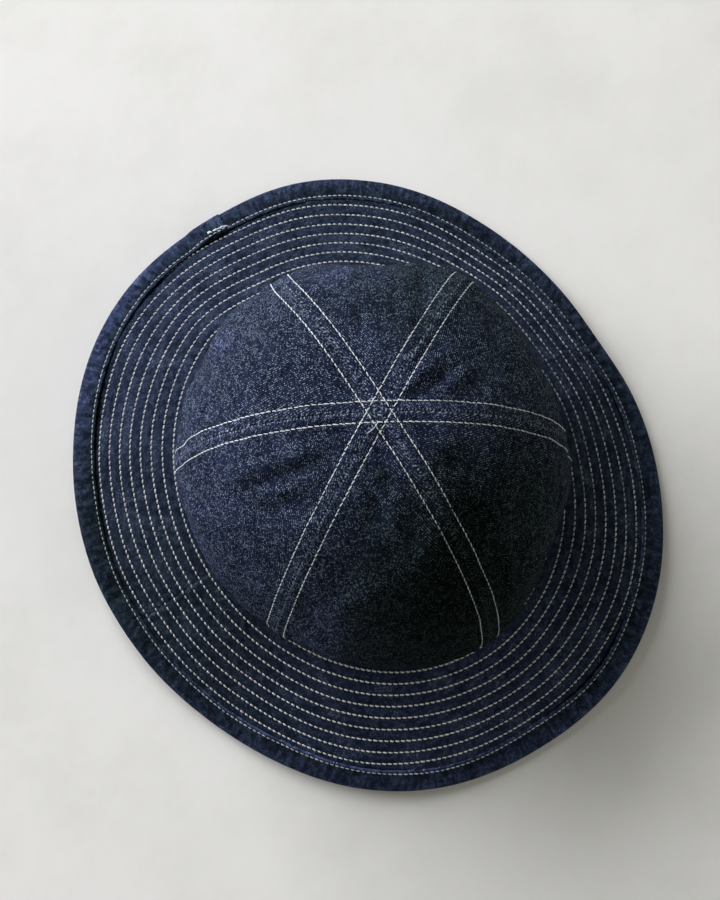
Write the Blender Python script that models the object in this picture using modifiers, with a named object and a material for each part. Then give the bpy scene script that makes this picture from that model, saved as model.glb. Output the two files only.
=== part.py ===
"""Soft army hat of washed denim, resting on its brim.

Six gores make the crown. The brim is two layers of the same cloth, cut in halves and
joined at the sides, with a bias strip folded round its edge. +X is the wearer's left,
+Y is the back of the head and +Z is up. The floor is at Z = 0.
"""

import math

import bmesh
import bpy
from mathutils import Vector

# Head and crown
HEAD_WIDTH = 0.175
HEAD_LENGTH = 0.2045
CROWN_RISE = 0.110
CROWN_LEAN_LEFT = 0.0108
CROWN_LEAN_BACK = 0.0091
CROWN_FULLNESS = 2.59
CROWN_ROUNDNESS = 2.21
GORE_FLATNESS = 0.016
BULGE_HEIGHT = 0.9

# Brim
BRIM_WIDTH = 0.0707
SEAM_HEIGHT = 0.0384
STAND_HEIGHT = 0.008
BINDING_WIDTH = 0.0143
BINDING_JOINT_DEG = 89.5
BINDING_LAP = 0.012
BINDING_RAMP = 0.008

# Cloth and sewing. Near the top of a gore its seam allowances take at most a share of
# the gore's width, so that they never cross.
CLOTH = 0.001
CLEARANCE = 0.0003
FOLD_CLEARANCE = 0.0005
CLOTH_JOINT = 0.0005
SEAM_ALLOWANCE = 0.0055
ALLOWANCE_STEP = 0.0006
ALLOWANCE_MOST = 0.40
STEP_MOST = 0.44
FLOOR_PRESS = 0.00035

# How finely the cloth is divided
STATIONS = 48
GORE_COLUMNS = 7
GORE_ROWS = 10
BRIM_ROWS = 4
NOSE_SIDES = 4

# Sections round the hat. Heights are shares of SEAM_HEIGHT over the floor, and the
# bulge is a share of the head's radius at mid height.
# around_deg, edge_lift, seam_lift, bulge
SECTIONS = (
    (0, 0.053, 1.180, 0.122),
    (30, 0.000, 1.077, 0.074),
    (60, 0.125, 0.938, 0.002),
    (90, 0.008, 0.880, -0.002),
    (120, 0.077, 0.872, 0.022),
    (150, 0.050, 0.941, 0.092),
    (180, 0.090, 1.020, 0.130),
    (210, 0.000, 1.038, 0.066),
    (240, 0.096, 1.029, 0.026),
    (270, 0.000, 0.979, 0.040),
    (300, 0.120, 0.956, 0.044),
    (330, 0.055, 1.079, 0.084),
)

# Folds and dents of the crown's wall, as shares of CROWN_RISE, outwards positive.
# around_deg, rise, wide_deg, tall, depth
CROWN_FOLDS = (
    (27, 0.66, 13, 0.26, 0.020),
    (102, 0.72, 12, 0.26, -0.034),
    (214, 0.26, 8, 0.16, 0.016),
    (236, 0.45, 12, 0.30, -0.012),
    (322, 0.42, 9, 0.30, 0.014),
    (303, 0.34, 8, 0.26, -0.012),
)

# The seams between gores, where each one meets the brim.
# name of the gore that starts there, around_deg
GORE_SEAMS = (
    ("crown_panel_left_back", 29.1),
    ("crown_panel_right_back", 90.4),
    ("crown_panel_right", 150.4),
    ("crown_panel_right_front", 209.0),
    ("crown_panel_left_front", 271.4),
    ("crown_panel_left", 329.5),
)

FULL_TURN = 360.0
STEEPEST = 0.95
EDGE_COLUMN, SEAM_COLUMN, BULGE_COLUMN = 1, 2, 3

# Where each layer of the brim lies, measured from the middle of the two
LAYER_LIFT = (CLEARANCE + CLOTH) / 2
BINDING_LIFT = LAYER_LIFT + CLOTH + FOLD_CLEARANCE
NOSE_RADIUS = BINDING_LIFT + CLOTH / 2
NOSE_OUT = BRIM_WIDTH - NOSE_RADIUS
LAYER_EDGE = NOSE_OUT - FOLD_CLEARANCE
STAND_INSET = 2 * CLOTH + CLEARANCE + FOLD_CLEARANCE + CLOTH / 2
CROWN_BASE_LIFT = LAYER_LIFT + CLOTH / 2 + 2 * CLEARANCE


def column_at(column, angle):
    """A column of SECTIONS, read smoothly at any angle in degrees."""
    count = len(SECTIONS)
    place = (angle % FULL_TURN) / FULL_TURN * count
    first = int(place) % count
    t = place - int(place)
    before, start, end, after = (
        SECTIONS[(first + step) % count][column] for step in (-1, 0, 1, 2)
    )
    straight = (end - before) * t
    square = (2 * before - 5 * start + 4 * end - after) * t**2
    cube = (3 * start - before - 3 * end + after) * t**3
    return start + (straight + square + cube) / 2


def head_oval(angle):
    """The crown seam seen from above: its point, and its outward direction."""
    turn = math.radians(angle)
    half_width = HEAD_WIDTH / 2
    half_length = HEAD_LENGTH / 2
    across = Vector((math.cos(turn), math.sin(turn), 0))
    stretch = math.hypot(half_length * across.x, half_width * across.y)
    point = across * (half_width * half_length / stretch)
    outward = Vector((point.x / half_width**2, point.y / half_length**2, 0))
    return point, outward.normalized()


def nose_height(angle):
    """Height of the middle of the rolled edge over the edge's lowest place."""
    return NOSE_RADIUS + column_at(EDGE_COLUMN, angle) * SEAM_HEIGHT


def seam_height(angle):
    return column_at(SEAM_COLUMN, angle) * SEAM_HEIGHT


def station_angles(first, last, count):
    return [first + (last - first) * step / count for step in range(count + 1)]


ROUND = station_angles(0, FULL_TURN, STATIONS)[:-1]
SETTLE = min(nose_height(angle) for angle in ROUND) - NOSE_RADIUS + FLOOR_PRESS


def brim_slope(angle):
    """The angle, in radians, at which the brim falls away from the crown seam."""
    fall = seam_height(angle) - nose_height(angle)
    return math.asin(max(-STEEPEST, min(STEEPEST, fall / NOSE_OUT)))


def brim_point(angle, out, lift):
    """A point of the brim: out is its distance from the crown seam along the cloth."""
    seam, outward = head_oval(angle)
    slope = brim_slope(angle)
    along = out * math.cos(slope) + lift * math.sin(slope)
    height = seam_height(angle) - out * math.sin(slope) + lift * math.cos(slope)
    return seam + outward * along + Vector((0, 0, height - SETTLE))


def brim_corner(angle, lift):
    """Where a layer of the brim turns level to pass under the crown's edge."""
    seam, outward = head_oval(angle)
    along = lift * math.tan(brim_slope(angle) / 2)
    return seam + outward * along + Vector((0, 0, seam_height(angle) + lift - SETTLE))


def outline_middle():
    """The middle of the brim's outline, which is the hat's origin."""
    edge = [brim_point(angle, BRIM_WIDTH, 0) for angle in ROUND]
    wide = [point.x for point in edge]
    long = [point.y for point in edge]
    return Vector(((min(wide) + max(wide)) / 2, (min(long) + max(long)) / 2, 0))


MIDDLE = outline_middle()
MEAN_SEAM = SEAM_HEIGHT * sum(row[SEAM_COLUMN] for row in SECTIONS) / len(SECTIONS)
CROWN_TOP = MEAN_SEAM + CROWN_RISE - SETTLE


def fold_depth(angle, rise):
    """How far the folds push the crown's wall out at a place."""
    depth = 0.0
    for around, middle, wide, tall, share in CROWN_FOLDS:
        turn = (angle - around + FULL_TURN / 2) % FULL_TURN - FULL_TURN / 2
        depth += share * math.exp(-((turn / wide) ** 2) - ((rise - middle) / tall) ** 2)
    return depth * CROWN_RISE


def between_seams(angle):
    """0 on a seam between gores and 1 in the middle of a gore."""
    seams = [seam for _, seam in GORE_SEAMS]
    nearest = min(
        abs((angle - seam + FULL_TURN / 2) % FULL_TURN - FULL_TURN / 2) for seam in seams
    )
    share = min(1.0, nearest * len(seams) / (FULL_TURN / 2))
    return (1 - math.cos(math.pi * share)) / 2


def crown_radius(angle, rise):
    """Distance from the crown's leaning axis to its outer face."""
    seam, _ = head_oval(angle)
    profile = (1 - min(1.0, rise) ** CROWN_ROUNDNESS) ** (1 / CROWN_FULLNESS)
    swell = math.sin(math.pi * rise**BULGE_HEIGHT)
    bulge = 1 + column_at(BULGE_COLUMN, angle) * swell
    flat = 1 - GORE_FLATNESS * between_seams(angle) * math.sin(math.pi * rise)
    return seam.length * profile * bulge * flat + fold_depth(angle, rise) * swell


def crown_point(angle, rise):
    """A point of the crown's outer face: rise is 0 at the brim and 1 at the top."""
    turn = math.radians(angle)
    across = Vector((math.cos(turn), math.sin(turn), 0))
    base = seam_height(angle) + CROWN_BASE_LIFT - SETTLE
    lean = Vector((CROWN_LEAN_LEFT, CROWN_LEAN_BACK, 0)) * rise
    height = Vector((0, 0, base + (CROWN_TOP - base) * rise))
    return across * crown_radius(angle, rise) + lean + height


def stand_points(angle, inset, level):
    """The brim's turned-up inner edge, from its top down to the level it stands on.

    It follows the crown's wall at a distance of inset behind the wall's outer face.
    """
    _, outward = head_oval(angle)
    base = crown_point(angle, 0)
    points = []
    for share in (1, 0.5):
        wall = crown_point(angle, share * STAND_HEIGHT / CROWN_RISE)
        splay = (wall - base).dot(outward) / (wall.z - base.z)
        points.append(wall - outward * inset * math.hypot(1, splay))
    drop = (base.z - level) * splay
    foot = base - outward * (inset * math.hypot(1, splay) + drop)
    points.append(Vector((foot.x, foot.y, level)))
    return points


def denim(name, colour):
    """Matt cotton cloth."""
    material = bpy.data.materials.new(name)
    material.use_nodes = True
    shader = material.node_tree.nodes["Principled BSDF"]
    shader.inputs["Base Color"].default_value = (*colour, 1)
    shader.inputs["Roughness"].default_value = 0.88
    shader.inputs["Metallic"].default_value = 0.0
    return material


def cloth_object(name, rows, colour, collection, offset, thickness=CLOTH):
    """Lofts a strip of cloth through rows of points and gives it its thickness.

    Every row has as many points as the next one, apart from a last row of one point.
    """
    mesh = bpy.data.meshes.new(name)
    shape = bmesh.new()
    grid = [[shape.verts.new(point - MIDDLE) for point in row] for row in rows]
    for near, far in zip(grid, grid[1:]):
        for left in range(len(near) - 1):
            if len(far) == 1:
                shape.faces.new((near[left], near[left + 1], far[0]))
            else:
                shape.faces.new((near[left], near[left + 1], far[left + 1], far[left]))
    shape.to_mesh(mesh)
    shape.free()
    mesh.shade_smooth()
    piece = bpy.data.objects.new(name, mesh)
    collection.objects.link(piece)
    mesh.materials.append(denim(name + "_denim", colour))
    wall = piece.modifiers.new("cloth", "SOLIDIFY")
    wall.thickness = thickness
    wall.offset = offset
    wall.use_even_offset = True
    return piece


def crown_panel(name, first_seam, last_seam, colour, collection):
    """One gore, with its seam allowances folded back along both sides."""
    half_joint = CLOTH_JOINT / 2
    half_span = math.radians(last_seam - first_seam) / 2
    middle = (first_seam + last_seam) / 2
    rows = []
    for step in range(GORE_ROWS):
        arc = math.pi / 2 * step / GORE_ROWS
        rise = math.sin(arc) ** (2 / CROWN_ROUNDNESS)
        radius = crown_radius(middle, rise)
        joint = math.asin(half_joint / radius)
        reach = 2 * (half_span - joint)
        folded = min(SEAM_ALLOWANCE / radius, reach * ALLOWANCE_MOST)
        stepped = min((SEAM_ALLOWANCE + ALLOWANCE_STEP) / radius, reach * STEP_MOST)
        inner = station_angles(stepped, reach - stepped, GORE_COLUMNS - 1)
        turns = [0, folded, *inner, reach - folded, reach]
        angles = [math.degrees(turn + joint) + first_seam for turn in turns]
        rows.append([crown_point(angle, rise) for angle in angles])
    tip = Vector((CROWN_LEAN_LEFT, CROWN_LEAN_BACK, CROWN_TOP))
    turn = math.radians(middle)
    tip += Vector((math.cos(turn), math.sin(turn), 0)) * (half_joint / math.sin(half_span))
    rows.append([tip])
    piece = cloth_object(name, rows, colour, collection, offset=-1, thickness=2 * CLOTH)
    columns = len(rows[0])
    allowance = piece.vertex_groups.new(name="allowance")
    doubled = [
        row * columns + column
        for row in range(GORE_ROWS)
        for column in (0, 1, columns - 2, columns - 1)
    ]
    allowance.add([*doubled, GORE_ROWS * columns], 1.0, "REPLACE")
    wall = piece.modifiers["cloth"]
    wall.vertex_group = allowance.name
    wall.thickness_vertex_group = 0.5
    return piece


def brim_layer(name, side, first, last, colour, collection):
    """Half of one layer of the brim, with its inner edge turned up inside the crown.

    side is 1 for the upper layer and -1 for the under layer.
    """
    lift = side * LAYER_LIFT
    inset = STAND_INSET + (0 if side > 0 else CLOTH + CLEARANCE)
    joint = math.degrees(CLOTH_JOINT / HEAD_WIDTH)
    rows = []
    for angle in station_angles(first + joint, last - joint, STATIONS // 2):
        level = seam_height(angle) + lift - SETTLE
        row = stand_points(angle, inset, level)
        row.append(brim_corner(angle, lift))
        for step in range(1, BRIM_ROWS + 1):
            row.append(brim_point(angle, LAYER_EDGE * step / BRIM_ROWS, lift))
        rows.append(row)
    return cloth_object(name, rows, colour, collection, offset=0)


def binding_strip(name, colour, collection):
    """The bias strip round the brim's edge. It starts on top of its own far end."""
    edge_radius = (HEAD_WIDTH + HEAD_LENGTH) / 4 + BRIM_WIDTH
    lap = math.degrees(BINDING_LAP / edge_radius)
    ramp = math.degrees(BINDING_RAMP / edge_radius)
    start = BINDING_JOINT_DEG - lap / 2
    covered = start + lap
    full = covered + ramp / 4
    low = covered + ramp
    step = FULL_TURN / STATIONS
    regular = [
        angle
        for angle in station_angles(0, 2 * FULL_TURN, 2 * STATIONS)
        if low + step / 2 < angle < start + FULL_TURN - step / 2
    ]
    fall_steps = [full, (full + low) / 2, low]
    under_end = [start + FULL_TURN, covered + FULL_TURN]
    angles = [start, start + lap / 2, *fall_steps, *regular, *under_end]
    rows = []
    for angle in angles:
        share = max(0.0, min(1.0, (low - angle) / (low - full)))
        over = (CLOTH + CLEARANCE) * share * share * (3 - 2 * share)
        half = BINDING_LIFT + over
        lip = BRIM_WIDTH - BINDING_WIDTH
        row = [brim_point(angle, lip, half)]
        for corner in range(NOSE_SIDES + 1):
            turn = math.pi / 2 - corner * math.pi / NOSE_SIDES
            out = NOSE_OUT + half * math.cos(turn)
            row.append(brim_point(angle, out, half * math.sin(turn)))
        row.append(brim_point(angle, lip, -half))
        rows.append(row)
    return cloth_object(name, rows, colour, collection, offset=0)


def floor_cutter(collection):
    """The floor, which presses the lowest places of the edge flat."""
    bpy.ops.mesh.primitive_cube_add(size=1)
    floor = bpy.context.object
    floor.name = "floor_cutter"
    reach = HEAD_LENGTH + 4 * BRIM_WIDTH
    for vertex in floor.data.vertices:
        vertex.co.x *= reach
        vertex.co.y *= reach
        vertex.co.z = (vertex.co.z - 0.5) * SEAM_HEIGHT
    for holder in list(floor.users_collection):
        holder.objects.unlink(floor)
    collection.objects.link(floor)
    floor.hide_render = True
    floor.display_type = "WIRE"
    return floor


def build():
    for old in list(bpy.data.objects):
        bpy.data.objects.remove(old)
    parts = bpy.data.collections.new("army_hat")
    cutters = bpy.data.collections.new("cutters")
    bpy.context.scene.collection.children.link(parts)
    bpy.context.scene.collection.children.link(cutters)

    indigo = (0.020, 0.028, 0.060)
    faded = (0.030, 0.042, 0.085)
    for index, (name, seam) in enumerate(GORE_SEAMS):
        following = GORE_SEAMS[(index + 1) % len(GORE_SEAMS)][1]
        last = following if following > seam else following + FULL_TURN
        crown_panel(name, seam, last, indigo if index % 2 else faded, parts)
    for half, first in (("back", 0), ("front", FULL_TURN / 2)):
        last = first + FULL_TURN / 2
        brim_layer("brim_upper_" + half, 1, first, last, indigo, parts)
        brim_layer("brim_under_" + half, -1, first, last, indigo, parts)
    binding = binding_strip("brim_binding", faded, parts)
    pressed = binding.modifiers.new("floor", "BOOLEAN")
    pressed.operation = "DIFFERENCE"
    pressed.solver = "EXACT"
    pressed.object = floor_cutter(cutters)


build()
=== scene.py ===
"""A soft army hat of washed indigo denim, lying on its brim on a pale floor.

Lengths are in metres and angles round the hat in degrees, counted from the wearer's
left (+X) towards the back of the head (+Y). The floor is at Z = 0.
"""

import math

import bpy
import numpy as np
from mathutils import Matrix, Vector


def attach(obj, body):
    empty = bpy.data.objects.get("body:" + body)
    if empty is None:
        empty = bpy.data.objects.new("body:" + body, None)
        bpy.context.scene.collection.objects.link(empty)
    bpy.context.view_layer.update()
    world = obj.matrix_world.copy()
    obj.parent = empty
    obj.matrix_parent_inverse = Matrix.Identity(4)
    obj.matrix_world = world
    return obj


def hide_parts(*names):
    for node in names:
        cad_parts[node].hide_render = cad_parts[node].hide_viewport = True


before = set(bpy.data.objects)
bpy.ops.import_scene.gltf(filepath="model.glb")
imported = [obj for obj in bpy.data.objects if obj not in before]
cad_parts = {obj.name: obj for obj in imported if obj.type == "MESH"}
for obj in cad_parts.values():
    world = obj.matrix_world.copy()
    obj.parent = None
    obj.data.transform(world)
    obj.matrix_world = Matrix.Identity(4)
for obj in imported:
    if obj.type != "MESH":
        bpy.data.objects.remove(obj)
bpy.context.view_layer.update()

# Camera. It looks down on the crown from a little in front and to the wearer's right,
# 8 degrees off the plumb line, as the person who took the picture stood.
CAMERA_AZIMUTH = math.radians(-32.1)
CAMERA_ELEVATION = math.radians(82.05)
CAMERA_DISTANCE = 0.867
CAMERA_AIM = Vector((0.0079, 0.0152, 0.0023))
LENS_MM = 65.7

camera_data = bpy.data.cameras.new("camera")
camera_data.lens = LENS_MM
camera = bpy.data.objects.new("camera", camera_data)
bpy.context.scene.collection.objects.link(camera)
camera_back = Vector((
    math.sin(CAMERA_AZIMUTH) * math.cos(CAMERA_ELEVATION),
    -math.cos(CAMERA_AZIMUTH) * math.cos(CAMERA_ELEVATION),
    math.sin(CAMERA_ELEVATION),
))
camera.location = CAMERA_AIM + camera_back * CAMERA_DISTANCE
camera.rotation_euler = (-camera_back).to_track_quat("-Z", "Y").to_euler()
bpy.context.scene.camera = camera
bpy.context.scene.view_settings.view_transform = "Standard"

# Light. A wide, low window at the upper left of the picture lights the cloth from the
# side. A pale wall at the right and a dim room fill the shadows a little.
PICTURE_UP = Vector((math.sin(-CAMERA_AZIMUTH), math.cos(CAMERA_AZIMUTH), 0))
PICTURE_RIGHT = Vector((math.cos(CAMERA_AZIMUTH), math.sin(CAMERA_AZIMUTH), 0))
ROOM_LIGHT = (1.0, 0.985, 0.86)
ROOM_STRENGTH = 0.13

# name, turn_deg from the picture's right, distance, height, width, tall, watts, colour
LIGHTS = (
    ("window", 137, 2.9, 1.41, 4.0, 2.1, 214.0, (1.0, 0.995, 0.98)),
    ("wall", 345, 2.8, 1.6, 2.8, 2.2, 20.0, (1.0, 0.985, 0.80)),
)
for name, turn_deg, distance, height, width, tall, watts, colour in LIGHTS:
    light_data = bpy.data.lights.new(name, "AREA")
    light_data.shape = "RECTANGLE"
    light_data.size = width
    light_data.size_y = tall
    light_data.energy = watts
    light_data.color = colour
    light = bpy.data.objects.new(name, light_data)
    turn = math.radians(turn_deg)
    light.location = (PICTURE_RIGHT * math.cos(turn) + PICTURE_UP * math.sin(turn)) * distance
    light.location.z = height
    light.rotation_euler = light.location.to_track_quat("Z", "Y").to_euler()
    bpy.context.scene.collection.objects.link(light)

room = bpy.data.worlds.new("room")
room.use_nodes = True
room.node_tree.nodes["Background"].inputs["Color"].default_value = (*ROOM_LIGHT, 1)
room.node_tree.nodes["Background"].inputs["Strength"].default_value = ROOM_STRENGTH
bpy.context.scene.world = room


# Floor. Plain pale painted boards, smooth and matt, with hardly any marks. The hat lies
# on them on its brim.
class Wire:
    """A value on its way through a node tree: sums on it add the tree's Math nodes."""

    def __init__(self, tree, socket):
        self.tree = tree
        self.socket = socket

    def math(self, operation, first, second=0.0):
        return self.tree.node("Math", {"operation": operation}, {0: first, 1: second})

    def __add__(self, other):
        return self.math("ADD", self, other)

    def __radd__(self, other):
        return self.math("ADD", other, self)

    def __sub__(self, other):
        return self.math("SUBTRACT", self, other)

    def __rsub__(self, other):
        return self.math("SUBTRACT", other, self)

    def __mul__(self, other):
        return self.math("MULTIPLY", self, other)

    def __rmul__(self, other):
        return self.math("MULTIPLY", other, self)

    def __truediv__(self, other):
        return self.math("DIVIDE", self, other)

    def __pow__(self, other):
        return self.math("POWER", self, other)

    def __mod__(self, other):
        return self.math("FLOORED_MODULO", self, other)

    def __lt__(self, other):
        return self.math("LESS_THAN", self, other)

    def floor(self):
        return self.math("FLOOR", self)

    def sine(self):
        return self.math("SINE", self)

    def least(self, other):
        return self.math("MINIMUM", self, other)

    def most(self, other):
        return self.math("MAXIMUM", self, other)


MATT = 0.02                 # the specular level of paint and cloth without any shine


class Finish:
    """A surface finish in the making; node() adds a node and gives what leaves it."""

    def __init__(self, name, roughness, sheen=0.0):
        self.material = bpy.data.materials.new(name)
        self.material.use_nodes = True
        self.nodes = self.material.node_tree.nodes
        self.links = self.material.node_tree.links
        self.shader = self.nodes["Principled BSDF"]
        self.shader.inputs["Roughness"].default_value = roughness
        self.shader.inputs["Sheen Weight"].default_value = sheen
        self.shader.inputs["Specular IOR Level"].default_value = MATT

    def node(self, kind, settings=None, sockets=None, leaves=0):
        node = self.nodes.new("ShaderNode" + kind)
        for name, value in (settings or {}).items():
            setattr(node, name, value)
        for name, value in (sockets or {}).items():
            self.fill(node.inputs[name], value)
        return Wire(self, node.outputs[leaves])

    def fill(self, socket, value):
        if isinstance(value, Wire):
            self.links.new(value.socket, socket)
        else:
            socket.default_value = value

    def mix(self, factor, first, second, blend="MIX"):
        """Two colours mixed; a colour is three numbers or a wire."""
        first, second = (
            value if isinstance(value, Wire) else (*value, 1) for value in (first, second)
        )
        settings = {"data_type": "RGBA", "blend_type": blend}
        return self.node("Mix", settings, {0: factor, 6: first, 7: second}, leaves=2)

    def noise(self, vector, scale, detail=2.0, rough=0.5):
        sockets = {"Vector": vector, "Scale": scale, "Detail": detail, "Roughness": rough}
        return self.node("TexNoise", None, sockets)

    def fade(self, value, start, end):
        """0 before start and 1 after end, smoothly."""
        settings = {"interpolation_type": "SMOOTHSTEP"}
        return self.node("MapRange", settings, {0: value, 1: start, 2: end})

    def scaled(self, vector, scale):
        return self.node("VectorMath", {"operation": "MULTIPLY"}, {0: vector, 1: scale})

    def parts(self, vector):
        split = self.node("SeparateXYZ", None, {0: vector}).socket.node
        return [Wire(self, part) for part in split.outputs]

    def bump(self, height, distance, strength):
        sockets = {"Height": height, "Distance": distance, "Strength": strength}
        self.fill(self.shader.inputs["Normal"], self.node("Bump", None, sockets))

    def paint(self, colour):
        self.fill(self.shader.inputs["Base Color"], colour)
        return self.material


FLOOR_SIZE = 8.0
FLOOR_PALE = (0.845, 0.845, 0.865)
FLOOR_WORN = (0.76, 0.76, 0.765)
FLOOR_STAIN = (0.56, 0.52, 0.46)

floor_paint = Finish("floor_paint", 0.8)
floor_place = floor_paint.node("TexCoord", leaves=3)
floor_marks = floor_paint.noise(floor_place, 11.0, 7.0, 0.62)
floor_marks = floor_paint.fade(floor_marks, 0.38, 0.72)
floor_grain = floor_paint.noise(floor_paint.scaled(floor_place, (260, 90, 0)), 1.0, 3.0, 0.6)
floor_stains = floor_paint.noise(floor_place, 23.0, 4.0, 0.5)
floor_stains = floor_paint.fade(floor_stains, 0.70, 0.84) * 0.5
floor_colour = floor_paint.mix(floor_marks * 0.7 + floor_grain * 0.25, FLOOR_PALE, FLOOR_WORN)
floor_paint.bump(floor_grain + floor_marks * 3.0, 0.00012, 0.5)
floor_paint.paint(floor_paint.mix(floor_stains, floor_colour, FLOOR_STAIN))

floor_mesh = bpy.data.meshes.new("floor")
floor_half = FLOOR_SIZE / 2
floor_mesh.from_pydata(
    [(x * floor_half, y * floor_half, 0) for x, y in ((-1, -1), (1, -1), (1, 1), (-1, 1))],
    [],
    [(0, 1, 2, 3)],
)
floor_mesh.materials.append(floor_paint.material)
floor = bpy.data.objects.new("floor", floor_mesh)
bpy.context.scene.collection.objects.link(floor)


# Crown. Six gores of one layer of denim, sewn together from the brim to the top. Each
# seam's allowances are pressed open inside the hat, and a row of stitching on either
# side of the seam holds them flat. The cloth rolls over into each seam.
HEAD_WIDTH = 0.175
HEAD_LENGTH = 0.2045
CROWN_RISE = 0.110
CROWN_LEAN = np.array((0.0108, 0.0091, 0.0))
CROWN_FULLNESS = 2.59
CROWN_ROUNDNESS = 2.21
GORE_FLATNESS = 0.016
BULGE_HEIGHT = 0.9
BRIM_WIDTH = 0.0707
SEAM_HEIGHT = 0.0384
STAND_HEIGHT = 0.008
CLOTH = 0.001
CLEARANCE = 0.0003
FOLD_CLEARANCE = 0.0005
FLOOR_PRESS = 0.00035

# Sections round the hat. Heights are shares of SEAM_HEIGHT over the floor, and the
# bulge is a share of the head's radius at mid height.
# around_deg, edge_lift, seam_lift, bulge
SECTIONS = np.array((
    (0, 0.053, 1.180, 0.122),
    (30, 0.000, 1.077, 0.074),
    (60, 0.125, 0.938, 0.002),
    (90, 0.008, 0.880, -0.002),
    (120, 0.077, 0.872, 0.022),
    (150, 0.050, 0.941, 0.092),
    (180, 0.090, 1.020, 0.130),
    (210, 0.000, 1.038, 0.066),
    (240, 0.096, 1.029, 0.026),
    (270, 0.000, 0.979, 0.040),
    (300, 0.120, 0.956, 0.044),
    (330, 0.055, 1.079, 0.084),
))
EDGE_COLUMN, SEAM_COLUMN, BULGE_COLUMN = 1, 2, 3

# How far the brim's cloth sways out of its even round, in millimetres: at its edge and
# at the first turn of the quilting, and how far the binding's own row strays from that.
# around_deg, edge, quilting, row
BRIM_SWAY = np.array((
    (0, -2.1, -0.9, -0.1),
    (15, 0.2, 0.0, -0.4),
    (30, 1.4, -0.4, -0.5),
    (45, -0.2, -1.2, -0.2),
    (60, -0.7, -0.8, 0.2),
    (75, 0.8, 1.0, -0.3),
    (90, -1.2, 0.3, -0.5),
    (105, -0.2, -0.4, 1.3),
    (120, -0.8, 0.2, 0.3),
    (135, -1.0, 0.2, -0.7),
    (150, 0.1, 0.3, -1.3),
    (165, 0.0, 0.3, -0.6),
    (180, -1.4, -0.2, -0.4),
    (195, -1.2, -0.4, 0.3),
    (210, -1.2, 0.8, 0.0),
    (225, -2.0, 0.0, -0.6),
    (240, -1.5, 1.2, -0.2),
    (255, 0.1, 0.1, 1.6),
    (270, 0.6, 0.0, -0.2),
    (285, 1.9, 1.2, 0.8),
    (300, 0.2, 0.3, -0.3),
    (315, -0.1, 0.2, -0.1),
    (330, 1.0, 0.6, -0.2),
    (345, 0.6, 0.6, 0.7),
))
SWAY_EDGE, SWAY_QUILT, SWAY_ROW = 1, 2, 3

# Light and shade painted into the colour round the hat: how much lighter or darker each
# cloth is painted, 1 being the middle shade, and how white the quilting thread is, from 0
# to 1, which is partly the dye staining it and partly painted shade.
# around_deg, crown, brim, binding, thread
PAINTED_LIGHT_AND_STAIN = np.array((
    (0, 0.56, 0.92, 0.88, 0.00),
    (30, 0.52, 1.00, 0.94, 0.25),
    (60, 0.62, 0.90, 0.96, 0.38),
    (90, 0.86, 1.00, 1.06, 0.50),
    (120, 0.84, 1.08, 1.33, 0.53),
    (150, 0.98, 0.87, 0.68, 0.53),
    (180, 0.96, 0.68, 0.62, 0.45),
    (210, 0.80, 0.86, 1.00, 0.65),
    (240, 0.40, 1.28, 1.16, 0.95),
    (270, 0.29, 1.38, 1.38, 1.00),
    (300, 0.43, 0.92, 1.02, 0.45),
    (330, 0.60, 0.68, 0.90, 0.00),
))
CROWN_PAINTED_LIGHT, BRIM_PAINTED_LIGHT, BINDING_PAINTED_LIGHT, THREAD_STAIN_AND_SHADE = 1, 2, 3, 4

# Places on the crown, seen from above, where light and shade are painted into the cloth's
# colour: patches painted lighter stand for light, darker ones for shade.
# x_mm, y_mm, wide_mm, painted_paler
PAINTED_LIGHT_PATCHES = (
    (-12, -78, 26, -0.45),
    (16, -74, 22, -0.40),
    (27, -26, 9, -0.45),
    (25, -50, 10, -0.45),
    (50, -55, 16, -0.30),
    (-3, -17, 6, -0.35),
    (-14, -28, 6, -0.30),
    (-14, -50, 11, 0.30),
    (-60, -58, 9, 1.20),
    (44, 34, 12, -0.25),
    (-22, 8, 24, -0.16),
    (6, 56, 22, -0.10),
    (31, 78, 7, 0.60),
    (48, 69, 6, 0.50),
    (-30, 84, 6, 0.60),
    (-34, -34, 8, 0.25),
)

# Folds and dents of the crown's wall, as shares of CROWN_RISE, outwards positive.
# around_deg, rise, wide_deg, tall, depth
CROWN_FOLDS = (
    (27, 0.66, 13, 0.26, 0.020),
    (102, 0.72, 12, 0.26, -0.034),
    (214, 0.26, 8, 0.16, 0.016),
    (236, 0.45, 12, 0.30, -0.012),
    (322, 0.42, 9, 0.30, 0.014),
    (303, 0.34, 8, 0.26, -0.012),
)

# Small creases and ridges that lying about has left in the crown, seen from above.
# from_x_mm, from_y_mm, to_x_mm, to_y_mm, wide_mm, lift_mm
CREASES = (
    (22, 11, 50, 17, 2.6, 1.8),
    (26, 5, 54, 10, 2.5, -1.9),
    (38, 1, 60, 6, 2.4, 1.6),
    (47, -4, 64, -2, 2.4, -1.3),
    (33, 18, 48, 24, 2.6, -1.2),
    (-66, 24, -14, 8, 3.4, 1.5),
    (-62, 15, -18, 3, 3.0, -1.5),
    (-58, 8, -28, -1, 2.6, 0.9),
    (-60, 2, -34, -8, 3.2, -0.9),
    (-52, -13, -32, -21, 3.4, 1.0),
    (-1, -13, -4, -24, 3.0, -1.7),
    (-11, -20, -17, -36, 3.0, -1.6),
    (-6, -28, -12, -46, 3.2, 1.6),
    (-58, -52, -14, -57, 5.0, 3.6),
    (-14, -57, 8, -46, 5.0, 3.0),
    (23, -20, 30, -32, 4.0, -2.6),
    (24, -44, 28, -56, 4.0, -2.4),
    (31, -70, 23, -89, 2.4, 2.2),
    (-70, -46, -60, -70, 3.0, 3.2),
    (60, 50, 68, 60, 4.0, -3.4),
    (20, 40, 34, 62, 3.5, -1.8),
    (40, 32, 50, 44, 3.0, 1.5),
)

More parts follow.
